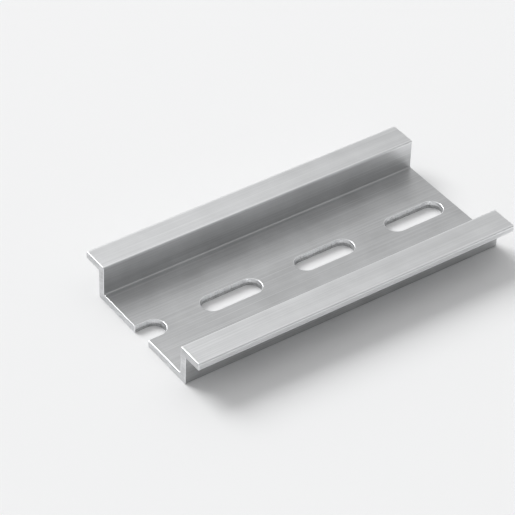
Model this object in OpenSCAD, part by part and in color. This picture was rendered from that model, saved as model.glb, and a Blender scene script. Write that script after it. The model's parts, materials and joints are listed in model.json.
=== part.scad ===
// Slotted top-hat DIN rail, 35 mm across the flanges, as one length of cut stock.
// The rail lies on its back: X runs along it, Y across it, Z up out of the channel.
// The origin is at the middle of the back, on the plane that it is mounted against.

/* [Rail] */
// Length of the piece between its two sawn ends
rail_length = 67; // [30:1:300]
// Width over the two flanges that devices clip on to
rail_width = 35; // [30:0.5:50]
// Height from the back to the front of the flanges
rail_height = 7.5; // [6:0.5:15]
// Thickness of the back, the webs and the flanges
wall = 1.5; // [1:0.1:2]
// How far each flange stands out past its web
flange_overhang = 4; // [3:0.25:6]
// Radius that the corners of the section are broken with
corner_radius = 0.3; // [0.1:0.05:0.45]

/* [Slots] */
// Length of a fixing slot over its round ends
slot_length = 12.2; // [8:0.1:18]
// Width of a fixing slot
slot_width = 4.2; // [3.2:0.1:7]
// Distance between the middles of neighbouring slots
slot_pitch = 20; // [19:0.5:30]
// How much of the first slot is left where the saw cut through it
cut_slot_depth = 4.7; // [3.8:0.1:6.9]

/* [Hidden] */
$fn = 96;

// The channel between the flanges, outside and inside its webs
channel_width = rail_width - 2 * flange_overhang;
channel_inside = channel_width - 2 * wall;

// Middle of the cut slot, which lies before the sawn end, and the slots that the piece reaches
cut_end = -rail_length / 2;
first_slot = cut_end + cut_slot_depth - slot_length / 2;
slot_steps = floor((rail_length / 2 + slot_length / 2 - first_slot) / slot_pitch);

// How far a cutter runs past the faces that it goes through
clear = 1;

// The sliver between a sharp corner at the origin and its rounding, filling the quadrant +Y +Z
module corner_sliver(radius) {
    difference() {
        square(radius);
        translate([radius, radius]) circle(radius);
    }
}

// One half of the section, from the middle of the back out to the flange tip
module half_section() {
    web_outer = channel_width / 2;
    web_inner = channel_inside / 2;
    tip = rail_width / 2;
    flange_under = rail_height - wall;

    difference() {
        union() {
            square([web_outer, wall]);
            translate([web_inner, 0]) square([wall, rail_height]);
            translate([web_inner, flange_under]) square([tip - web_inner, wall]);
            // Roots inside the channel and under the flange
            translate([web_inner, wall]) mirror([1, 0]) corner_sliver(corner_radius);
            translate([web_outer, flange_under]) mirror([0, 1]) corner_sliver(corner_radius);
        }
        // Outer corners at the back, at the mouth of the channel and along the flange tip
        translate([web_outer, 0]) mirror([1, 0]) corner_sliver(corner_radius);
        translate([web_inner, rail_height]) mirror([0, 1]) corner_sliver(corner_radius);
        translate([tip, rail_height]) rotate(180) corner_sliver(corner_radius);
        translate([tip, flange_under]) mirror([1, 0]) corner_sliver(corner_radius);
    }
}

// The whole top-hat section
module section() {
    half_section();
    mirror([1, 0]) half_section();
}

// Punch for one slot, with round ends, standing through the back
module slot_punch() {
    height = wall + 2 * clear;
    reach = (slot_length - slot_width) / 2;
    translate([0, 0, -clear]) {
        for (side = [-1, 1])
            translate([side * reach, 0, 0]) cylinder(d = slot_width, h = height);
        translate([-reach, -slot_width / 2, 0]) cube([2 * reach, slot_width, height]);
    }
}

// The piece of rail: the section run along X, then punched at every pitch
module rail() {
    color("silver")
    difference() {
        translate([cut_end, 0, 0]) rotate([90, 0, 90]) linear_extrude(rail_length) section();
        for (step = [0 : slot_steps])
            translate([first_slot + step * slot_pitch, 0, 0]) slot_punch();
    }
}

rail();
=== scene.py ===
import json
import math

import bmesh
import bpy
from mathutils import Matrix, Vector


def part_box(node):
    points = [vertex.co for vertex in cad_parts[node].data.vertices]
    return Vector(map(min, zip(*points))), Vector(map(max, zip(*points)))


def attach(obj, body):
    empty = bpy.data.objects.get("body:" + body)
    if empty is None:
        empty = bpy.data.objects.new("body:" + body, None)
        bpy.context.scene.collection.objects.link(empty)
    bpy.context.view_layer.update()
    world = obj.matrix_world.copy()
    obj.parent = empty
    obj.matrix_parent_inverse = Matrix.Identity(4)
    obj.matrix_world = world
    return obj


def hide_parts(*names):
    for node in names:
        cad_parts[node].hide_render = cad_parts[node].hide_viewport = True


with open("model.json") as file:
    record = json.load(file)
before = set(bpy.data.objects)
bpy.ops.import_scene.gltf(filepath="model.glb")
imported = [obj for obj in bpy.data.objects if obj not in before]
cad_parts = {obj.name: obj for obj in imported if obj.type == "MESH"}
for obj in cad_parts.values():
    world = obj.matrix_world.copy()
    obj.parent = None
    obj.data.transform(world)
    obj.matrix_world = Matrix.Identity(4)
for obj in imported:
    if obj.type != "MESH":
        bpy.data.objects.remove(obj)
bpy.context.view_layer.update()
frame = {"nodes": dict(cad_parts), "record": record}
print("frame loaded:", ", ".join(frame["nodes"]))

# The rail lies on its back: X along it, Y across it, Z up out of the channel
mm = 0.001
tiny = 0.002 * mm  # how near a point has to be to count as on a plane
squareOn = 0.999  # how much of a normal has to point along an axis for its face to count as square to it


def startAlone(obj=None):  # object mode, with nothing or only this object selected
    if bpy.context.object and bpy.context.object.mode != "OBJECT":
        bpy.ops.object.mode_set(mode="OBJECT")
    bpy.ops.object.select_all(action="DESELECT")
    if obj:
        obj.select_set(True)
        bpy.context.view_layer.objects.active = obj


def pick(obj, kind, test):  # edit mode, with only the faces or edges that pass the test selected
    startAlone(obj)
    bpy.ops.object.mode_set(mode="EDIT")
    bpy.ops.mesh.select_mode(type=kind)
    bpy.ops.mesh.select_all(action="DESELECT")
    mesh = bmesh.from_edit_mesh(obj.data)
    for item in mesh.faces if kind == "FACE" else mesh.edges:
        item.select_set(test(item))
    bmesh.update_edit_mesh(obj.data)


def near(a, b):
    return abs(a - b) < tiny


def middle(face):
    return face.calc_center_median()


def addBlock(name, low, high):  # a cube primitive at its size and place
    startAlone()
    bpy.ops.mesh.primitive_cube_add(size=1, location=(Vector(low) + Vector(high)) / 2)
    block = bpy.context.object
    block.name = name
    block.scale = Vector(high) - Vector(low)
    bpy.ops.object.transform_apply(location=True, rotation=True, scale=True)
    return block


def applyModifier(obj, kind, **values):
    startAlone(obj)
    modifier = obj.modifiers.new(kind.title(), kind)
    for key, value in values.items():
        setattr(modifier, key, value)
    bpy.ops.object.modifier_apply(modifier=modifier.name)


# Sizes of the rail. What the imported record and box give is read, the rest of the section is set here.
boxLow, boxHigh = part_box("rail")
mounts = {mount["name"]: mount for mount in frame["record"]["mounts"]}
outer, pair = mounts["outer_slots"], mounts["neighbour_slots"]

rail = dict(
    start=boxLow.x, end=boxHigh.x,
    halfWidth=boxHigh.y,
    height=boxHigh.z,
    wall=outer["pos_m"][2],  # the slots' mount lies on the floor of the channel
    overhang=4 * mm,
    corner=0.3 * mm,  # radius along every corner of the section
    cornerSteps=6,
    rollOver=0.16 * mm,  # rounding that the punch leaves round a slot's mouth
    sawnBreak=0.10 * mm,  # what the file takes off the sawn ends
    exitBreak=0.06 * mm,  # the sharp side that the punch comes out of
    breakSteps=3,
    flatWithin=1,  # degrees; faces that turn less than this are joined into one
    smoothUnder=35,  # degrees; sharper edges stay hard
)
rail["webOuter"] = rail["halfWidth"] - rail["overhang"]
rail["webInner"] = rail["webOuter"] - rail["wall"]
rail["underFlange"] = rail["height"] - rail["wall"]

slots = dict(
    halfWidth=outer["dims"]["hole_r_mm"] * mm,
    length=outer["dims"]["slot_length_mm"] * mm,
    pitch=pair["dims"]["spacing_x_mm"] * mm,
    first=outer["pos_m"][0] - outer["dims"]["spacing_x_mm"] * mm / 2,  # the middle of the first whole slot
    count=4,  # three whole ones and the one that the saw cut through
    roundSteps=16,  # steps in a quarter turn
)
slots["cut"] = slots["first"] - slots["pitch"]


def sectionBlank():  # the top-hat section, drawn out of a flat plate
    plateLow = (rail["start"], -rail["webOuter"], 0)
    plateHigh = (rail["end"], rail["webOuter"], rail["wall"])
    blank = addBlock("railStock", plateLow, plateHigh)
    for y in (-rail["webInner"], rail["webInner"]):
        pick(blank, "FACE", lambda face: True)
        bpy.ops.mesh.bisect(plane_co=(0, y, 0), plane_no=(0, 1, 0))

    def webTop(face):
        return face.normal.z > squareOn and abs(middle(face).y) > rail["webInner"]

    for lift in (rail["underFlange"] - rail["wall"], rail["wall"]):
        pick(blank, "FACE", webTop)
        bpy.ops.mesh.extrude_region_move(TRANSFORM_OT_translate={"value": (0, 0, lift)})

    def flangeRoot(face, side):  # the top of a web's outer side, which its flange grows out of
        outside = middle(face).y * side > rail["webInner"] + tiny
        return outside and face.normal.y * side > squareOn and middle(face).z > rail["underFlange"]

    for side in (-1, 1):
        pick(blank, "FACE", lambda face: flangeRoot(face, side))
        bpy.ops.mesh.extrude_region_move(TRANSFORM_OT_translate={"value": (0, side * rail["overhang"], 0)})

    bpy.ops.mesh.select_all(action="SELECT")
    bpy.ops.mesh.dissolve_limited(angle_limit=math.radians(rail["flatWithin"]))
    bpy.ops.mesh.normals_make_consistent(inside=False)
    return blank


def roundCorners(blank):  # every long edge that is left is a corner of the section
    def isLong(edge):
        a, b = edge.verts
        return near(a.co.y, b.co.y) and near(a.co.z, b.co.z)

    pick(blank, "EDGE", isLong)
    bpy.ops.mesh.bevel(offset=rail["corner"], segments=rail["cornerSteps"], affect="EDGES")


def slotPunches():  # one round-ended punch, then the row of them
    half, r = slots["length"] / 2, slots["halfWidth"]
    punch = addBlock("punches", (slots["cut"] - half, -r, -rail["wall"]),
                     (slots["cut"] + half, r, 2 * rail["wall"]))

    def isUpright(edge):
        a, b = edge.verts
        return near(a.co.x, b.co.x) and near(a.co.y, b.co.y)

    pick(punch, "EDGE", isUpright)
    bpy.ops.mesh.bevel(offset=r, segments=slots["roundSteps"], affect="EDGES")
    bpy.ops.mesh.select_all(action="SELECT")
    bpy.ops.mesh.remove_doubles(threshold=tiny)
    bpy.ops.mesh.normals_make_consistent(inside=False)
    applyModifier(punch, "ARRAY", count=slots["count"], use_relative_offset=False,
                  use_constant_offset=True, constant_offset_displace=(slots["pitch"], 0, 0))
    return punch


def punchSlots(blank):
    # An edge down the middle comes first, so that no face has a hole in it
    pick(blank, "FACE", lambda face: True)
    bpy.ops.mesh.bisect(plane_co=(0, 0, 0), plane_no=(0, 1, 0))
    punches = slotPunches()
    applyModifier(blank, "BOOLEAN", operation="DIFFERENCE", solver="EXACT", object=punches)
    bpy.data.objects.remove(punches)


def isSawn(face):
    atEnd = near(middle(face).x, rail["start"]) or near(middle(face).x, rail["end"])
    return abs(face.normal.x) > squareOn and atEnd


def isPunched(face):
    upright = abs(face.normal.z) < 1 - squareOn
    inRow = abs(middle(face).y) < slots["halfWidth"] + tiny and 0 < middle(face).z < rail["wall"]
    return upright and inRow and not isSawn(face)


def isFloor(face):
    return face.normal.z > squareOn and near(middle(face).z, rail["wall"])


def isBack(face):
    return face.normal.z < -squareOn and near(middle(face).z, 0)


def joins(edge, firstKind, secondKind):  # whether the edge lies between a face of each kind
    if len(edge.link_faces) != 2:
        return False
    a, b = edge.link_faces
    return (firstKind(a) and secondKind(b)) or (firstKind(b) and secondKind(a))


def paintFaces(obj, materials):  # each with the test for its faces; the first one covers what is left
    for index, (material, test) in enumerate(materials):
        obj.data.materials.append(material)
        if test:
            pick(obj, "FACE", test)
            obj.active_material_index = index
            bpy.ops.object.material_slot_assign()


def breakEdges(obj, edgeMaterial):  # the material is given by its place in the object's list
    widest = rail["rollOver"]
    for test, width in (
        (lambda edge: joins(edge, isSawn, lambda face: not isSawn(face)), rail["sawnBreak"]),
        (lambda edge: joins(edge, isPunched, isFloor), rail["rollOver"]),
        (lambda edge: joins(edge, isPunched, isBack), rail["exitBreak"]),
    ):
        pick(obj, "EDGE", test)
        bpy.ops.transform.edge_bevelweight(value=width / widest)
    applyModifier(obj, "BEVEL", width=widest, segments=rail["breakSteps"], limit_method="WEIGHT",
                  material=edgeMaterial, use_clamp_overlap=True)


def smoothShape(obj):
    startAlone(obj)
    bpy.ops.object.shade_smooth_by_angle(angle=math.radians(rail["smoothUnder"]))
    applyModifier(obj, "WEIGHTED_NORMAL", keep_sharp=True)


def newGroup(name, inputs, outputs):  # a shader node group with its sockets, ready for nodes
    group = bpy.data.node_groups.new(name, "ShaderNodeTree")
    for socketName, kind, value in inputs:
        socket = group.interface.new_socket(
            name=socketName, in_out="INPUT", socket_type="NodeSocket" + kind)
        if value is not None:
            socket.default_value = value
    for socketName, kind in outputs:
        group.interface.new_socket(name=socketName, in_out="OUTPUT", socket_type="NodeSocket" + kind)
    return group, group.nodes.new("NodeGroupInput"), group.nodes.new("NodeGroupOutput")


def addNode(tree, kind, settings=None, **sockets):
    # A socket is given a value or a link. Its name has _ for a space, and i0, i1 and i2 go by number.
    node = tree.nodes.new("ShaderNode" + kind)
    for key, value in (settings or {}).items():
        setattr(node, key, value)
    for key, value in sockets.items():
        which = int(key[1]) if key in ("i0", "i1", "i2") else key.replace("_", " ")
        socket = node.inputs[which]
        if isinstance(value, bpy.types.NodeSocket):
            tree.links.new(value, socket)
        else:
            socket.default_value = value
    return node


def mathNode(tree, operation, a, b=0.0, c=0.0, clamp=False):
    settings = {"operation": operation, "use_clamp": clamp}
    return addNode(tree, "Math", settings, i0=a, i1=b, i2=c).outputs[0]


def vectorNode(tree, operation, a, b=(0, 0, 0)):
    node = addNode(tree, "VectorMath", {"operation": operation}, i0=a, i1=b)
    return node.outputs["Value" if operation in ("DISTANCE", "DOT_PRODUCT") else "Vector"]


def smoothRange(tree, value, start, end):  # 0 at the start, 1 at the end
    return addNode(tree, "MapRange", {"interpolation_type": "SMOOTHSTEP"}, Value=value,
                   From_Min=start, From_Max=end).outputs[0]


halfway = 0.5  # what a noise gives on average, and halfway from dark to light

# How the marks of every tool are made up. bandsPerLine and scoresPerLine say how many bands or scored lines
# fit in the length of a fine line (X) and in its width (Y and Z).
lineShape = dict(
    fineShare=0.6, bandShare=0.4,  # of the fine lines, and of the wide bands that they lie in
    bandsPerLine=(0.5, 0.16, 0.16),
    scoresPerLine=(1.1, 1.9, 1.9),
    scoredFrom=0.60, scoredTo=0.70,  # only the peaks of this noise are scored lines
    lineContrast=2.2, cloudContrast=1.2,
)


def workedMetal():
    # Fine lines left by a tool, and soft clouds between them. Line Width is across the lines and Line Length
    # along them, in metres; the lines run along the X of the coordinates that come in.
    group, given, out = newGroup("workedMetal", [
        ("Vector", "Vector", None),
        ("Line Width", "Float", 0.0003), ("Line Length", "Float", 0.05),
        ("Cloud Size", "Float", 0.006),
        ("Light", "Color", (0.9, 0.9, 0.9, 1)), ("Dark", "Color", (0.7, 0.7, 0.7, 1)),
        ("Roughness", "Float", 0.35), ("Line Spread", "Float", 0.1), ("Cloud Spread", "Float", 0.1),
        ("Scoring", "Float", 0.0),
    ], [("Color", "Color"), ("Roughness", "Float"), ("Height", "Float")])
    size = given.outputs

    def noise(vector, **character):
        return addNode(group, "TexNoise", Vector=vector, Scale=1.0, **character).outputs[0]

    lineSize = addNode(group, "CombineXYZ", X=size["Line Length"], Y=size["Line Width"],
                       Z=size["Line Width"]).outputs[0]
    lineSpace = vectorNode(group, "DIVIDE", size["Vector"], lineSize)
    bandSpace = vectorNode(group, "MULTIPLY", lineSpace, lineShape["bandsPerLine"])
    scoreSpace = vectorNode(group, "MULTIPLY", lineSpace, lineShape["scoresPerLine"])
    cloudSpace = vectorNode(group, "DIVIDE", size["Vector"], size["Cloud Size"])
    fine = noise(lineSpace, Detail=4.0, Roughness=0.65)
    bands = noise(bandSpace, Detail=2.0, Roughness=0.5)
    streaks = noise(scoreSpace, Detail=1.0, Roughness=0.5)
    clouds = noise(cloudSpace, Detail=5.0, Roughness=0.6)

    scored = smoothRange(group, streaks, lineShape["scoredFrom"], lineShape["scoredTo"])
    scored = mathNode(group, "MULTIPLY", scored, size["Scoring"])
    lines = mathNode(group, "MULTIPLY", bands, lineShape["bandShare"])
    lines = mathNode(group, "MULTIPLY_ADD", fine, lineShape["fineShare"], lines)
    height = mathNode(group, "SUBTRACT", lines, scored)
    lines = mathNode(group, "SUBTRACT", lines, halfway)
    clouds = mathNode(group, "SUBTRACT", clouds, halfway)

    shade = mathNode(group, "MULTIPLY_ADD", clouds, lineShape["cloudContrast"], scored)
    shade = mathNode(group, "MULTIPLY_ADD", lines, lineShape["lineContrast"], shade)
    shade = mathNode(group, "ADD", shade, halfway, clamp=True)
    colour = addNode(group, "MixRGB", Fac=shade, Color1=size["Dark"], Color2=size["Light"]).outputs[0]
    rough = mathNode(group, "MULTIPLY_ADD", lines, size["Line Spread"], size["Roughness"])
    rough = mathNode(group, "MULTIPLY_ADD", clouds, size["Cloud Spread"], rough, clamp=True)
    group.links.new(colour, out.inputs["Color"])
    group.links.new(rough, out.inputs["Roughness"])
    group.links.new(height, out.inputs["Height"])
    return group


toolMarks = workedMetal()


def grey(value):  # bare aluminium, a touch cooler than plain grey
    return (value * 0.99, value, value * 1.01, 1)


dieLines = dict(Line_Width=0.35 * mm, Line_Length=45 * mm, Line_Spread=0.30)

# How deep each tool cuts and what its marks look like. The keys of the marks are the inputs of workedMetal.
finishes = dict(
    die=dict(  # lines along the rail, with painted shade (a darker grey) low in the channel and painted light (a lighter grey) high on the flanges, worn at their corners
        depth=0.004 * mm, strength=0.4,
        stretch=0.55,  # how much the lines draw a highlight out across them
        paintedLightFrom=3.5 * mm, paintedLightTo=7 * mm,  # heights between which the painted shade low down turns into the painted light high up
        wornFrom=0.55 * mm, wornTo=0.25 * mm,  # how near a corner of the flange the wear starts and is full
        waver=0.5 * mm,  # how uneven its border is
        # painted shade: a darker grey for the channel floor and the foot of the webs, because they are
        # lower; also a little rougher
        lowPaintedShade=dict(dieLines, Cloud_Size=7 * mm, Light=grey(0.67), Dark=grey(0.50), Roughness=0.42,
                  Cloud_Spread=0.10, Scoring=0.45),
        # painted light: a lighter grey for the tops of the flanges and webs, because they are higher
        highPaintedLight=dict(dieLines, Cloud_Size=7 * mm, Light=grey(0.83), Dark=grey(0.68), Roughness=0.38,
                    Cloud_Spread=0.08, Scoring=0.35),
        worn=dict(dieLines, Cloud_Size=3 * mm, Light=grey(0.96), Dark=grey(0.86), Roughness=0.30,
                  Line_Spread=0.10, Cloud_Spread=0.08),
    ),
    sawn=dict(  # arcs of a round blade, sloping gently across the end
        depth=0.02 * mm, strength=0.6,
        bladeMiddle=(0, -40 * mm, -150 * mm),  # its axle, to one side of the rail and below it
        marks=dict(Line_Width=0.22 * mm, Line_Length=30 * mm, Cloud_Size=2 * mm, Light=grey(0.82),
                   Dark=grey(0.48), Roughness=0.42, Line_Spread=0.5, Cloud_Spread=0.10),
    ),
    punched=dict(  # a burnished band where the punch went in, torn metal below it
        depth=0.012 * mm, strength=0.5,
        tornTo=0.42, burnishedFrom=0.52,  # shares of the wall, from the back up
        waver=0.5,  # how uneven the border is
        burnished=dict(Line_Width=0.20 * mm, Line_Length=3 * mm, Cloud_Size=1 * mm, Light=grey(0.88),
                       Dark=grey(0.62), Roughness=0.30, Line_Spread=0.3, Cloud_Spread=0.15),
        torn=dict(Line_Width=0.25 * mm, Line_Length=0.5 * mm, Cloud_Size=0.4 * mm, Light=grey(0.66),
                  Dark=grey(0.34), Roughness=0.58, Line_Spread=0.2, Cloud_Spread=0.30),
    ),
    broken=dict(  # edges taken off by a file, or rolled over by the punch
        depth=0.002 * mm, strength=0.15,
        marks=dict(Line_Width=0.25 * mm, Line_Length=2 * mm, Cloud_Size=1.5 * mm, Light=grey(0.94),
                   Dark=grey(0.86), Roughness=0.30, Line_Spread=0.10, Cloud_Spread=0.08),
    ),
)


def marksNode(tree, vector, marks):
    return addNode(tree, "Group", {"node_tree": toolMarks}, Vector=vector, **marks).outputs


def blended(tree, mask, under, over):  # two sets of marks, the second one where the mask is 1
    mixed = {key: addNode(tree, "Mix", Factor=mask, A=under[key], B=over[key]).outputs[0]
             for key in ("Roughness", "Height")}
    colour = addNode(tree, "MixRGB", Fac=mask, Color1=under["Color"], Color2=over["Color"])
    mixed["Color"] = colour.outputs[0]
    return mixed


def unevenBorder(tree, marks, waver):  # how far the border between two sets of marks is pushed
    return mathNode(tree, "MULTIPLY", mathNode(tree, "SUBTRACT", marks["Height"], halfway), waver)


def alongRail(tree, place, finish):  # lines along X
    return marksNode(tree, place, finish["marks"])


def drawnFaces(tree, place, finish):  # lines along X too, with painted shade darker low down and painted light lighter high up, brighter at the worn corners
    lowPaintedShade, highPaintedLight, worn = (marksNode(tree, place, finish[key]) for key in ("lowPaintedShade", "highPaintedLight", "worn"))
    height = addNode(tree, "SeparateXYZ", Vector=place).outputs["Z"]
    # Painted shade and light by height alone: darker in the channel, lighter on the flanges
    paintedLightMask = smoothRange(tree, height, finish["paintedLightFrom"], finish["paintedLightTo"])
    body = blended(tree, paintedLightMask, lowPaintedShade, highPaintedLight)

    oneSide = vectorNode(tree, "ABSOLUTE", place)
    section = vectorNode(tree, "MULTIPLY", oneSide, (0, 1, 1))
    nearest = rail["halfWidth"]  # farther than any face is from a corner
    for y, z in (
        (rail["webInner"], rail["height"]),
        (rail["halfWidth"], rail["height"]),
        (rail["halfWidth"], rail["underFlange"]),
    ):
        nearest = mathNode(tree, "MINIMUM", vectorNode(tree, "DISTANCE", section, (0, y, z)), nearest)
    border = mathNode(tree, "ADD", nearest, unevenBorder(tree, worn, finish["waver"]))
    wornMask = smoothRange(tree, border, finish["wornFrom"], finish["wornTo"])
    return blended(tree, wornMask, body, worn)


def roundBlade(tree, place, finish):  # lines round the blade's axle
    acrossEnd = vectorNode(tree, "MULTIPLY", place, (0, 1, 1))
    reach = vectorNode(tree, "DISTANCE", acrossEnd, finish["bladeMiddle"])
    parts = addNode(tree, "SeparateXYZ", Vector=place).outputs
    arcs = addNode(tree, "CombineXYZ", X=parts["Y"], Y=reach, Z=parts["X"]).outputs[0]
    return marksNode(tree, arcs, finish["marks"])


def throughSlot(tree, place, finish):  # lines up the wall, and the torn part below them
    upright = addNode(tree, "Mapping", Vector=place, Rotation=(0, math.pi / 2, 0)).outputs[0]
    burnished, torn = (marksNode(tree, upright, finish[key]) for key in ("burnished", "torn"))
    height = mathNode(tree, "DIVIDE", addNode(tree, "SeparateXYZ", Vector=place).outputs["Z"], rail["wall"])
    border = mathNode(tree, "ADD", height, unevenBorder(tree, burnished, finish["waver"]))
    burnishedMask = smoothRange(tree, border, finish["tornTo"], finish["burnishedFrom"])
    return blended(tree, burnishedMask, torn, burnished)


def bareAluminium(name, finish, addMarks):  # addMarks gives the Color, Roughness and Height sockets
    material = bpy.data.materials.new(name)
    material.use_nodes = True
    tree = material.node_tree
    shader = tree.nodes["Principled BSDF"]
    shader.inputs["Metallic"].default_value = 1.0
    place = addNode(tree, "TexCoord").outputs["Object"]
    marks = addMarks(tree, place, finish)
    bump = addNode(tree, "Bump", Height=marks["Height"], Distance=finish["depth"],
                   Strength=finish["strength"])
    tree.links.new(marks["Color"], shader.inputs["Base Color"])
    tree.links.new(marks["Roughness"], shader.inputs["Roughness"])
    tree.links.new(bump.outputs[0], shader.inputs["Normal"])
    if "stretch" in finish:
        normal = addNode(tree, "NewGeometry").outputs["Normal"]
        tree.links.new(vectorNode(tree, "CROSS_PRODUCT", normal, (1, 0, 0)), shader.inputs["Tangent"])
        shader.inputs["Anisotropic"].default_value = finish["stretch"]
    return material


# Its colour holds painted shade low in the channel and painted light high on the flanges, besides the die
# lines and worn corners
dieLinesAndPaintedShade = bareAluminium("dieLinesAndPaintedShade", finishes["die"], drawnFaces)
sawnEnd = bareAluminium("sawnEnd", finishes["sawn"], roundBlade)
punchedWall = bareAluminium("punchedWall", finishes["punched"], throughSlot)
brokenEdge = bareAluminium("brokenEdge", finishes["broken"], alongRail)
print("materials made")


railStock = sectionBlank()
roundCorners(railStock)
punchSlots(railStock)
paintFaces(railStock, [
    (dieLinesAndPaintedShade, None),
    (sawnEnd, isSawn),
    (punchedWall, isPunched),
    (brokenEdge, None),  # its faces come with the broken edges
])
breakEdges(railStock, railStock.data.materials.find("brokenEdge"))
smoothShape(railStock)
print("rail shaped:", len(railStock.data.polygons), "faces")

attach(railStock, "root")
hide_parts("rail")


studio = dict(
    floorSize=3,
    floorColour=(0.88, 0.883, 0.887, 1),
    floorRoughness=0.9,
    skyBright=0.70, skyDim=0.18,  # towards the bright side and away from it
    skySide=(170, 58),  # azimuth and elevation of the bright side
    skyTurn=-0.6,  # cosine of the angle from the bright side at which the sky is dimmest
    backdrop=0.89,  # what shows behind the floor
    # The key is a sun, alike from any distance, its softness in degrees. The card shows in the flanges.
    key=dict(azimuth=-165, elevation=42, distance=1, strength=1.95, softness=33),
    card=dict(azimuth=160, elevation=42, distance=0.32, watts=0.02, size=(0.14, 0.22)),
)
view = dict(azimuth=-36.15, elevation=39.6, roll=2.0, distance=446.3 * mm, lens=177.8,
            aim=(-6.9 * mm, 3.65 * mm, 3.7 * mm),
            nearest=10 * mm)  # what is nearer to the camera than this isn't drawn


def outwards(azimuth, elevation):  # from the middle towards a viewer or lamp; azimuth 0 is the front, -Y
    a, e = math.radians(azimuth), math.radians(elevation)
    return Vector((math.sin(a) * math.cos(e), -math.cos(a) * math.cos(e), math.sin(e)))


def addToScene(name, data):  # a camera or lamp as an object
    obj = bpy.data.objects.new(name, data)
    bpy.context.collection.objects.link(obj)
    return obj


def addCamera():
    back = outwards(view["azimuth"], view["elevation"])
    level = outwards(view["azimuth"] + 90, 0)
    turn = Matrix((level, back.cross(level), back)).transposed()
    turn = turn @ Matrix.Rotation(math.radians(view["roll"]), 3, "Z")
    data = bpy.data.cameras.new("camera")
    data.lens = view["lens"]
    data.clip_start = view["nearest"]
    camera = addToScene("camera", data)
    camera.matrix_world = Matrix.Translation(Vector(view["aim"]) + back * view["distance"]) @ turn.to_4x4()
    bpy.context.scene.camera = camera


def addLamps():
    key, card = studio["key"], studio["card"]
    sun = bpy.data.lights.new("key", "SUN")
    sun.energy, sun.angle = key["strength"], math.radians(key["softness"])
    panel = bpy.data.lights.new("card", "AREA")
    panel.energy, panel.shape, panel.size, panel.size_y = card["watts"], "RECTANGLE", *card["size"]
    for data, stand in ((sun, key), (panel, card)):
        lamp = addToScene(data.name, data)
        direction = outwards(stand["azimuth"], stand["elevation"])
        lamp.location = direction * stand["distance"]
        lamp.rotation_euler = direction.to_track_quat("Z", "Y").to_euler()


def addSky():  # bright on one side and dim on the other, with an even backdrop where the camera sees it
    world = bpy.data.worlds.new("sky")
    world.use_nodes = True
    tree = world.node_tree
    background = tree.nodes["Background"]
    background.inputs["Color"].default_value = (1, 1, 1, 1)
    towards = addNode(tree, "TexCoord").outputs["Generated"]
    facing = vectorNode(tree, "DOT_PRODUCT", towards, outwards(*studio["skySide"]))
    brightness = smoothRange(tree, facing, studio["skyTurn"], 1)
    glow = addNode(tree, "Mix", Factor=brightness, A=studio["skyDim"], B=studio["skyBright"]).outputs[0]
    seen = addNode(tree, "LightPath").outputs["Is Camera Ray"]
    strength = addNode(tree, "Mix", Factor=seen, A=glow, B=studio["backdrop"]).outputs[0]
    tree.links.new(strength, background.inputs["Strength"])
    bpy.context.scene.world = world


def addFloor():
    startAlone()
    bpy.ops.mesh.primitive_plane_add(size=studio["floorSize"])
    floor = bpy.context.object
    floor.name = "floor"
    paper = bpy.data.materials.new("paleFloor")
    paper.use_nodes = True
    shader = paper.node_tree.nodes["Principled BSDF"]
    shader.inputs["Base Color"].default_value = studio["floorColour"]
    shader.inputs["Roughness"].default_value = studio["floorRoughness"]
    shader.inputs["Specular IOR Level"].default_value = 0
    floor.data.materials.append(paper)


bpy.context.scene.view_settings.view_transform = "Standard"
addCamera()
addLamps()
addSky()
addFloor()
startAlone()
print("stage set")
